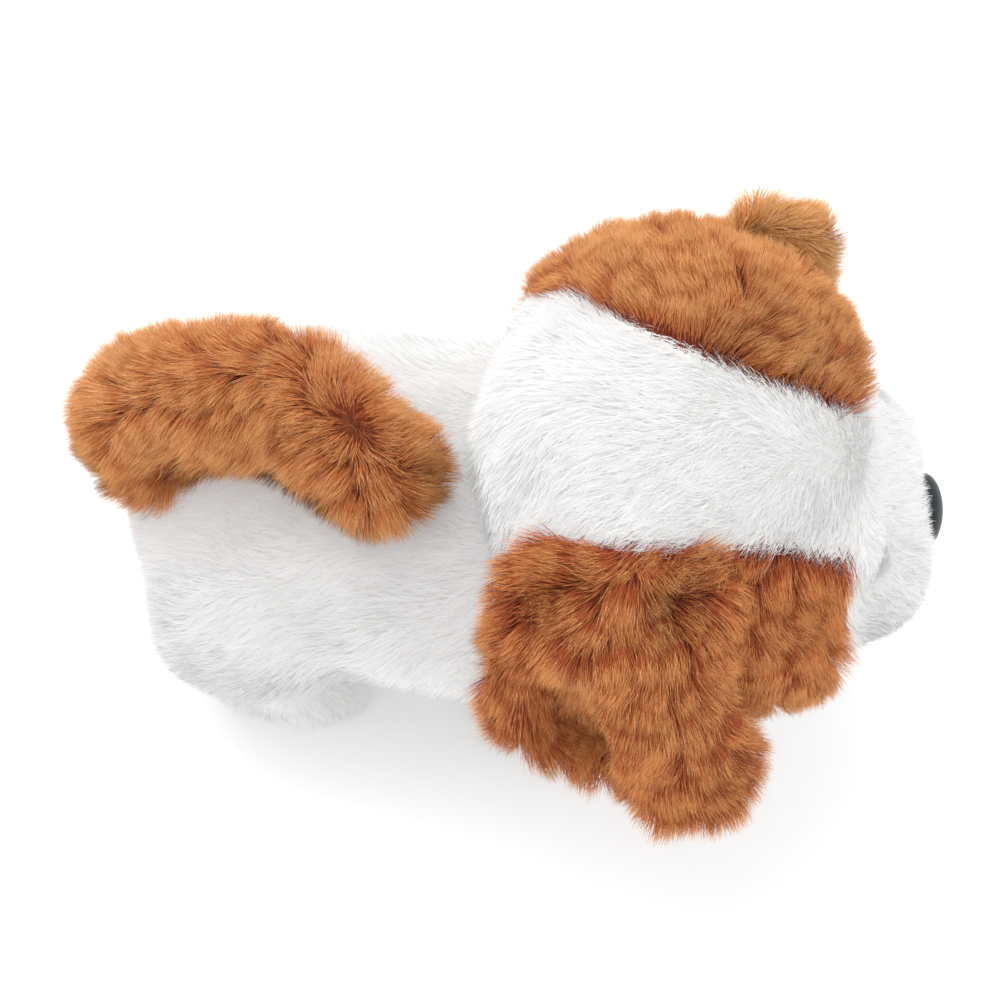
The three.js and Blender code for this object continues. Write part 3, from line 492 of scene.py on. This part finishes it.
# The brown darker and redder for the near ear and the near patch, on the shaded side: painted shade.
SHADED_RUST = shades("shaded_rust_pile", (
    ((0.23, 0.028, 0.006), (0.29, 0.040, 0.009), (0.18, 0.020, 0.005)),
    ((0.47, 0.102, 0.023), (0.55, 0.140, 0.034), (0.39, 0.076, 0.017)),
    ((0.76, 0.310, 0.092), (0.85, 0.410, 0.150), (0.65, 0.225, 0.060)),
))
# The white pile's strong glow is painted light: emission that lifts its shade.
WHITE = shades("white_pile", (
    ((0.76, 0.757, 0.752), (0.78, 0.777, 0.772), (0.74, 0.737, 0.732)),
    ((0.78, 0.777, 0.773), (0.79, 0.787, 0.783), (0.77, 0.767, 0.763)),
    ((0.79, 0.788, 0.785), (0.80, 0.798, 0.795), (0.78, 0.777, 0.773)),
), glow=0.215)
WHITE_CLOTH = varied("white_cloth", (0.80, 0.79, 0.78), (0.90, 0.89, 0.88), 0.9, 900, 0.4, sheen=0.2)
BROWN_CLOTH = varied("brown_cloth", (0.13, 0.035, 0.010), (0.26, 0.075, 0.022), 0.9, 900, 0.4, sheen=0.1)
SUEDE = varied("suede", (0.66, 0.63, 0.58), (0.82, 0.80, 0.76), 0.9, 1400, 0.5, sheen=0.3)

# ---- Pile: strands that grow out of a cloth surface ---------------------------------------------

STRAND_SHARES = np.array([0.0, 0.38, 0.74, 1.0])  # where a strand's rows are, from root to tip
STRAND_TAPER = (1.0, 0.84, 0.54)  # its width at each row below the tip
STRAND_POINTS = 2 * len(STRAND_TAPER) + 1
STRAND_BEND = 0.22  # how far a tip leans on along the cloth, as a share of its length
TILT_LIMITS = (0.05, 1.3)  # away from the cloth's normal, in radians
MOST_STRANDS = 38000  # in one piece


def sample(points, quads, density, rng):
    """Random places, spread evenly over the surface."""
    tris = np.vstack([quads[:, [0, 1, 2]], quads[:, [0, 2, 3]]])
    a, b, c = (points[tris[:, k]] for k in range(3))
    normal = np.cross(b - a, c - a)
    area = np.linalg.norm(normal, axis=1) / 2
    chosen = rng.choice(len(tris), size=int(area.sum() * density), p=area / area.sum())
    u, v = rng.random(len(chosen)), rng.random(len(chosen))
    flip = u + v > 1
    u[flip], v[flip] = 1 - u[flip], 1 - v[flip]
    return a[chosen] + u[:, None] * (b - a)[chosen] + v[:, None] * (c - a)[chosen]


def unit(v):
    return v / np.maximum(np.linalg.norm(v, axis=1, keepdims=True), 1e-9)


def combed(roots, normals, stream, lean, wander, seed, rng):
    """Which way each strand lies along the cloth, and which way it leaves its root."""
    along = unit(stream - (stream * normals).sum(axis=1, keepdims=True) * normals)
    across = np.cross(normals, along)
    turn = wander * ripple(roots, wavelength=26, seed=seed + 1) + rng.normal(0, 0.35, len(roots))
    along = along * np.cos(turn)[:, None] + across * np.sin(turn)[:, None]
    tilt = lean + 0.28 * ripple(roots, wavelength=17, seed=seed + 2) + rng.normal(0, 0.15, len(roots))
    tilt = np.clip(tilt, *TILT_LIMITS)
    return along, normals * np.cos(tilt)[:, None] + along * np.sin(tilt)[:, None]


def grown(roots, along, direction, size, droop, rng):
    """Each strand's middle line: straight at its root, and bent more and more towards its tip."""
    down = np.array([0, 0, -1.0])
    bend = along * STRAND_BEND + down * droop + rng.normal(0, 0.07, (len(roots), 3))
    shares = STRAND_SHARES[None, :, None]
    return roots[:, None, :] + size[:, None, None] * (
        shares * direction[:, None, :] + shares**2 * bend[:, None, :])


def gathered(spine, roots, clump, clump_size, density, rng):
    """The same strands with their tips drawn to the nearest leader's, so that they fall in tufts."""
    count = len(roots)
    leaders = rng.choice(count, max(1, int(count / (clump_size * density))), replace=False)
    tree = KDTree(len(leaders))
    for k, leader in enumerate(leaders):
        tree.insert(roots[leader], k)
    tree.balance()
    nearest = np.array([leaders[tree.find(root)[1]] for root in roots])
    pull = (spine[nearest, -1] - spine[:, -1]) * clump * rng.uniform(0.4, 1.1, count)[:, None]
    return spine + (STRAND_SHARES**1.6)[None, :, None] * pull[:, None, :]


def ribbons(spine, normals, width, rng):
    """Each strand's points, two to a row and one at the tip, and the normal that it is shaded by."""
    count = len(spine)
    first = unit(spine[:, 1] - spine[:, 0])
    front = unit(normals - (normals * first).sum(axis=1, keepdims=True) * first
                 + 0.02 * rng.normal(size=(count, 3)))
    sideways = np.cross(first, front)
    roll = rng.uniform(-1.1, 1.1, count)
    sideways = sideways * np.cos(roll)[:, None] + front * np.sin(roll)[:, None]
    half = sideways * (width / 2 * rng.uniform(0.75, 1.2, count))[:, None]
    rows = [side * half * share + spine[:, k] for k, share in enumerate(STRAND_TAPER) for side in (-1, 1)]
    face_normal = unit(np.cross(sideways, first))
    return np.stack(rows + [spine[:, -1]], axis=1), unit(front * face_normal + normals)


def toned(roots, seed, rng):
    """Each strand's tone, in broad drifts over the surface."""
    drift = TONES / 2 + 0.7 * ripple(roots, wavelength=30, seed=seed + 4) + rng.normal(0, 1.1, len(roots))
    return np.array((2, 0, 1))[np.clip(drift, 0, TONES - 0.1).astype(int)]


def pile(name, surface, field, materials, density, length, width, lean, droop, clump, flow, seed, place,
         clump_size=14.0, wander=0.6, keep=None, shorter=None):
    """Strands on a surface, split into pieces small enough to keep every strand."""
    rng = np.random.default_rng(seed)
    roots = sample(*surface, density, rng)
    if keep is not None:
        roots = roots[keep(roots, rng)]
    normals = unit(gradient(field, roots))
    count = len(roots)
    along, direction = combed(roots, normals, flow(roots), lean, wander, seed, rng)
    size = length * (1 + 0.12 * ripple(roots, wavelength=24, seed=seed + 3)) * rng.uniform(0.72, 1.12, count)
    if shorter is not None:
        size *= shorter(roots)
    spine = grown(roots, along, direction, size, droop, rng)
    spine = gathered(spine, roots, clump, clump_size, density, rng)
    spine[:, :, 2] = np.maximum(spine[:, :, 2], FLOOR_CLEARANCE)
    strands, shade_normal = ribbons(spine, normals, width, rng)
    tone = toned(roots, seed, rng)
    split = max(1, math.ceil(count / MOST_STRANDS))
    for part in range(split):
        chosen = np.arange(part, count, split)
        base = STRAND_POINTS * np.arange(len(chosen))[:, None]
        quads = np.vstack([base + np.array([0, 1, 3, 2]), base + np.array([2, 3, 5, 4])])
        tips = base + np.array([4, 5, 6])
        tones = tone[chosen]
        # Rows from root to tip take the levels, so each strand's base gets the dark root level: painted
        # shade.
        indices = np.concatenate([tones, TONES + tones, 2 * TONES + tones])
        title = name if split == 1 else f"{name}_{part + 1}"
        piece = mesh_object(title, strands[chosen].reshape(-1, 3), [quads, tips], materials, indices)
        custom = np.repeat(shade_normal[chosen], STRAND_POINTS, axis=0)
        piece.data.normals_split_custom_set_from_vertices(custom.astype(np.float32))
        place(piece)


def riding(body):
    def place(piece):
        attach(piece, body)
    return place


def bending(first, second, start, end, slot):
    def place(piece):
        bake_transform(piece)
    return place


def to_frame(point):
    return tuple((np.array(point, float) + ORIGIN) * MM)


def steady(*direction):
    return lambda p: np.tile(np.array(direction, float), (len(p), 1))


# ---- The puppy's soft pieces --------------------------------------------------------------------

WHITE_PILE = dict(density=6.5, length=5.0, width=0.15, lean=1.0, clump=0.2, droop=0.03)
BROWN_PILE = dict(density=9.0, length=9.0, width=0.145, lean=0.75, clump=0.55, clump_size=20, droop=0.06,
                  wander=1.0)


def brown_on_head(p):
    """How far a place is inside the brown patches, in millimetres; the blaze between them is white."""
    x, y, z = p.T
    ahead = x - BLAZE_X
    far = y - (BLAZE_Y + ahead**2 * np.where(ahead < 0, BLAZE_BEND_BACK, BLAZE_BEND_AHEAD))
    near = NEAR_Y + NEAR_SLANT * np.maximum(x - NEAR_SLANT_X, 0) - y
    sides = np.maximum(far, near)
    far_front = FAR_FRONT_X - x - FRONT_SLANT * np.maximum(FRONT_Z - z, 0)
    front = np.where(y > 0, far_front, NEAR_FRONT_X - x)
    low = z - LOW_Z - LOW_SLANT * (x - LOW_X)
    back = x - BACK_X + BACK_SLANT * (z - BACK_Z)
    return np.minimum.reduce([sides, front, low, back])


def edge(inside, sign, blur=1.1):
    """Keeps the strands on one side of a border, which the blur makes a little ragged."""
    return lambda p, rng: sign * inside(p) + rng.normal(0, blur, len(p)) > 0


def head_flow(p):
    """Back and outward over the head, and forward and down over the muzzle."""
    x, y, z = p.T
    out = np.stack([-0.5 * np.ones(len(p)), 0.9 * y / 50, 0.25 * (z - 106) / 40], axis=1)
    muzzle = smooth_step(x, 78, 92)[:, None]
    return out * (1 - muzzle) + np.array([0.8, 0.1, -0.35]) * muzzle


def clear_of_face(places):
    """Pile stays off the eyes and the nose."""
    p = turned(places)
    free = np.ones(len(p), bool)
    for _, side in SIDES:
        eye = np.array([EYE_X + EYE_CLEAR_AHEAD, side * EYE_Y, EYE_Z])
        free &= np.linalg.norm(p - eye, axis=1) > EYE_CLEAR
    free &= np.linalg.norm((p - np.array(NOSE_C)) / np.array(NOSE_CLEAR_R), axis=1) > 1
    return free


def patch_flow(side):
    """Outward and down over the side of the head, and forward or back from the patch's middle."""
    def flow(p):
        return np.stack([(p[:, 0] - 45) / 45, np.full(len(p), side * 1.0), np.full(len(p), -0.5)], axis=1)
    return flow


def make_head():
    surface = surface_of(head_field, *HEAD_SPACE)
    points, quads = surface
    centres = points[quads].mean(axis=1)
    brown = (brown_on_head(centres) > 0).astype(int)
    cloth = mesh_object("head_cloth", points, [quads], [WHITE_CLOTH, BROWN_CLOTH], brown)
    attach(cloth, "head")
    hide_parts("head_plush")
    on_white = edge(brown_on_head, -1)
    on_brown = edge(brown_on_head, 1)
    pile("head_white_pile", surface, head_field, WHITE, flow=head_flow, seed=11,
         keep=lambda p, rng: on_white(p, rng) & clear_of_face(p), place=riding("head"),
         shorter=lambda p: 1 - 0.4 * smooth_step(p[:, 0], 68, 88), **WHITE_PILE)
    for name, side in SIDES:
        def keep(p, rng, side=side):
            own_side = side * (p[:, 1] - PATCH_SPLIT_Y) > 0
            return on_brown(p, rng) & clear_of_face(p) & own_side
        style = {**BROWN_PILE, "length": 7.8 + 0.4 * side, "lean": 0.58}
        # The near patch takes the shaded brown, and the far patch the brown darkened against the lamp:
        # painted shade.
        pile(f"patch_pile_{name}", surface, head_field, SHADED_RUST if side < 0 else SHADED_AMBER, flow=patch_flow(side),
             seed=12 + side, keep=keep, place=riding("head"), **style)


def make_body():
    surface = surface_of(body_field, *BODY_SPACE)
    points, quads = surface
    cloth = mesh_object("body_cloth", points, [quads], [WHITE_CLOTH])
    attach(cloth, "casing")
    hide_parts("body_plush")
    pile("body_pile", surface, body_field, WHITE, flow=steady(-1, 0, -0.25), seed=21,
         place=riding("casing"), **WHITE_PILE)


def make_legs():
    for place_name, hip in (("rear", REAR_HIP), ("front", FRONT_HIP)):
        for name, side in SIDES:
            hip_x = hip[0] - ORIGIN[0]
            field = leg_field(hip_x, side)
            centre = np.array([hip_x, side * PAW_Y, LEG_SPACE_MIDDLE_Z])
            surface = surface_of(field, centre - LEG_SPACE_BELOW, centre + LEG_SPACE_ABOVE, LEG_GRID)
            body = f"{place_name}_leg_{name}"
            ends = ("casing", body, (hip_x, 0, hip[2]), (hip_x, 0, LEG_BEND_LOW), "white_plush")
            cloth = mesh_object(f"{place_name}_leg_cloth_{name}", surface[0], [surface[1]], [WHITE_CLOTH])
            bending(*ends)(cloth)
            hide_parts(f"{place_name}_leg_plush_{name}")
            pile(f"{place_name}_leg_pile_{name}", surface, field, WHITE, flow=steady(0.2, 0, -1),
                 seed=31 + side + len(place_name), place=bending(*ends),
                 keep=lambda p, rng: (p[:, 2] > LEG_PILE_LOW) & (p[:, 2] < LEG_PILE_HIGH),
                 **{**WHITE_PILE, "length": LEG_PILE_LENGTH})


def make_soles():
    for place_name in ("rear", "front"):
        for name, side in SIDES:
            node = f"{place_name}_sole_{name}"
            low, high = (np.array(corner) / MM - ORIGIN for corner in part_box(node))
            centre, half = (low + high) / 2, (high - low) / 2

            def field(p, centre=centre, half=half):
                x, y, z = (p - centre).T
                out = (np.hypot(x / half[0], y / half[1]) - 1) * half[1] + SOLE_EDGE
                up = np.abs(z) - half[2] + SOLE_EDGE
                rounded = np.hypot(np.maximum(out, 0), np.maximum(up, 0))
                return rounded + np.minimum(np.maximum(out, up), 0) - SOLE_EDGE
            surface = surface_of(field, low - SOLE_SPACE_MARGIN, high + SOLE_SPACE_MARGIN, SOLE_GRID)
            piece = mesh_object(f"{place_name}_sole_pad_{name}", surface[0], [surface[1]], [SUEDE])
            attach(piece, f"{place_name}_leg_{name}")
            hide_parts(node)


def make_tail():
    surface = surface_of(tail_field, *TAIL_SPACE)
    cloth = mesh_object("tail_cloth", surface[0], [surface[1]], [BROWN_CLOTH])
    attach(cloth, "tail")
    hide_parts("tail_plush")

    def flow(p):
        """Off the ridge of the tail to both sides of it, and outward to its ends."""
        ridge = 1.5 - 0.012 * np.maximum(p[:, 0] + 62, 0) ** 2
        return np.stack([(p[:, 0] + 40) / 50 - 0.25, (p[:, 1] - ridge) / 11, np.full(len(p), -0.35)], axis=1)

    pile("tail_pile", surface, tail_field, BROWN, flow=flow, seed=41,
         place=riding("tail"), **BROWN_PILE)


def ear_flow(name, side):
    """Down the flap, and fanning out to its front and back edges."""
    def flow(p):
        u, _, _ = ear_local(p, name, side)
        return np.stack([(u - 34) / 28, np.full(len(u), side * 0.4), np.full(len(u), -0.9)], axis=1)
    return flow


def make_ears():
    for name, side in SIDES:
        field = ear_field(name, side)
        surface = surface_of(field, *EAR_SPACE[name])
        body = f"ear_{name}"
        start, end = ((EAR_BEND_X, side * out, up) for out, up in (EAR_ROOT_BEND, EAR_FLAP_BEND))
        ends = ("head", body, start, end, "brown_plush")
        cloth = mesh_object(f"ear_cloth_{name}", surface[0], [surface[1]], [BROWN_CLOTH])
        bending(*ends)(cloth)
        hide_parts(f"ear_{name}")
        style = {"length": 9.0, "wander": 1.3} if side < 0 else {"length": 7.0, "lean": 1.05, "clump": 0.35}
        flow = ear_flow(name, side) if side < 0 else steady(0.7, 0.8, -0.2)
        # The near ear takes the shaded brown (painted shade) and the far ear the lit brown (painted light).
        pile(f"ear_pile_{name}", surface, field, SHADED_RUST if side < 0 else LIT_GOLD, seed=51 + side, flow=flow,
             place=bending(*ends), **{**BROWN_PILE, **style})


# ---- Nose, eyes and what is inside --------------------------------------------------------------


def make_nose():
    gloss = varied("nose_gloss", (0.006, 0.011, 0.014), (0.014, 0.022, 0.027), 0.42, 500, 0.25)
    gloss.node_tree.nodes["Principled BSDF"].inputs["Specular IOR Level"].default_value = 0.3

    def field(places):
        p = turned(places)
        x, _, z = NOSE_C
        d = egg(p, NOSE_C, NOSE_R)
        for side in (1, -1):
            nostril = (x + NOSTRIL_AHEAD, side * NOSTRIL_Y, z - NOSTRIL_DROP)
            d = soft_cut(d, egg(p, nostril, NOSTRIL_R), 1.0)
        return soft_cut(d, egg(p, (x + GROOVE_AHEAD, 0, z - GROOVE_DROP), GROOVE_R), 1.0)
    surface = surface_of(field, *NOSE_SPACE)
    piece = mesh_object("nose_cap", surface[0], [surface[1]], [gloss])
    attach(piece, "head")
    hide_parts("nose")


def make_eyes():
    gloss = varied("eye_gloss", (0.004, 0.003, 0.003), (0.012, 0.008, 0.006), 0.16, 120)
    gloss.node_tree.nodes["Principled BSDF"].inputs["Specular IOR Level"].default_value = 0.25
    for name, side in SIDES:
        centre = np.array([EYE_X, side * EYE_Y, EYE_Z])

        def field(p, centre=centre):
            dome = egg(turned(p), centre, EYE_R)
            rim = egg(turned(p), centre - (EYE_RIM_BACK, 0, 0), EYE_RIM_R)
            return soft_union(dome, rim, 1)
        surface = surface_of(field, centre - EYE_SPACE_BELOW, centre + EYE_SPACE_ABOVE, EYE_GRID)
        piece = mesh_object(f"eye_dome_{name}", surface[0], [surface[1]], [gloss])
        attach(piece, "head")
        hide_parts(f"eye_{name}")


def finish_inside():
    finishes = {
        "casing_plastic": varied("casing", (0.62, 0.61, 0.58), (0.74, 0.73, 0.70), 0.5, 700, 0.15),
        "gear_plastic": varied("gear", (0.80, 0.79, 0.74), (0.90, 0.89, 0.84), 0.35, 500, 0.08),
        "black_plastic": varied("black_part", (0.02, 0.02, 0.02), (0.05, 0.05, 0.05), 0.5, 800, 0.2),
        "steel": varied("steel", (0.45, 0.45, 0.47), (0.62, 0.62, 0.64), 0.28, 900, 0.1, metallic=1.0),
        "brass": varied("brass", (0.50, 0.36, 0.13), (0.72, 0.55, 0.24), 0.3, 900, 0.1, metallic=1.0),
        "board_green": varied("board", (0.02, 0.12, 0.04), (0.05, 0.22, 0.08), 0.4, 600, 0.1),
        "cell_green": varied("cell", (0.05, 0.20, 0.10), (0.08, 0.28, 0.15), 0.3, 200, 0.05),
        "red_wire": varied("red_wire", (0.40, 0.02, 0.015), (0.6, 0.04, 0.03), 0.4, 500, 0.1),
        "foot_rubber": SUEDE,
        "white_plush": WHITE_CLOTH,
        "brown_plush": BROWN_CLOTH,
        "black_gloss": varied("hidden_gloss", (0.01, 0.01, 0.012), (0.02, 0.02, 0.025), 0.15, 300),
    }
    for part in frame["record"]["subparts"]:
        piece = frame["nodes"][part["node"]]
        piece.data.materials.clear()
        piece.data.materials.append(finishes[part["material_slot"]])


# ---- Light, floor and camera --------------------------------------------------------------------


def make_stage():
    """A wide pale floor just under the soles, an even white room and one large lamp; in metres."""
    floor_mesh = bpy.data.meshes.new("floor")
    reach = 4.0
    corners = [(-reach, -reach, 0), (reach, -reach, 0), (reach, reach, 0), (-reach, reach, 0)]
    floor_mesh.from_pydata(corners, [], [(0, 1, 2, 3)])
    paper = varied("floor_paper", (0.93, 0.93, 0.93), (0.95, 0.95, 0.95), 0.9, 3)
    shader = paper.node_tree.nodes["Principled BSDF"]
    shader.inputs["Emission Color"].default_value = (1, 1, 1, 1)
    shader.inputs["Emission Strength"].default_value = 0.1
    floor_mesh.materials.append(paper)
    floor = bpy.data.objects.new("floor", floor_mesh)
    bpy.context.scene.collection.objects.link(floor)
    floor.location.z = -0.0002
    world = bpy.data.worlds.new("soft_room")
    world.use_nodes = True
    world.node_tree.nodes["Background"].inputs["Color"].default_value = (1, 1, 1, 1)
    world.node_tree.nodes["Background"].inputs["Strength"].default_value = 1.1
    bpy.context.scene.world = world
    add_light("key", place=(-0.35, 0.35, 1.2), size=1.2, power=6)


def add_light(name, place, size, power):
    data = bpy.data.lights.new(name, "AREA")
    data.size = size
    data.energy = power
    lamp = bpy.data.objects.new(name, data)
    lamp.location = place
    lamp.rotation_euler = (Vector((0, 0, 0.06)) - Vector(place)).to_track_quat("-Z", "Y").to_euler()
    bpy.context.scene.collection.objects.link(lamp)


def make_camera():
    """From high on the puppy's right side, as in the photograph."""
    azimuth, elevation, distance = math.radians(8.5), math.radians(60), 0.56
    target = Vector(to_frame((-1.1, 7.5, 59.4)))
    back = Vector((math.sin(azimuth) * math.cos(elevation),
                   -math.cos(azimuth) * math.cos(elevation), math.sin(elevation)))
    data = bpy.data.cameras.new("view")
    data.lens = 80.6
    data.clip_start = 0.01
    camera = bpy.data.objects.new("view", data)
    camera.location = target + back * distance
    camera.rotation_euler = (-back).to_track_quat("-Z", "Y").to_euler()
    bpy.context.scene.collection.objects.link(camera)
    bpy.context.scene.camera = camera
    bpy.context.scene.view_settings.view_transform = "Standard"
    bpy.context.scene.view_settings.look = "None"
    bpy.context.scene.view_settings.exposure = 0.0


make_camera()
make_stage()
finish_inside()
make_head()
make_body()
make_legs()
make_soles()
make_tail()
make_ears()
make_nose()
make_eyes()
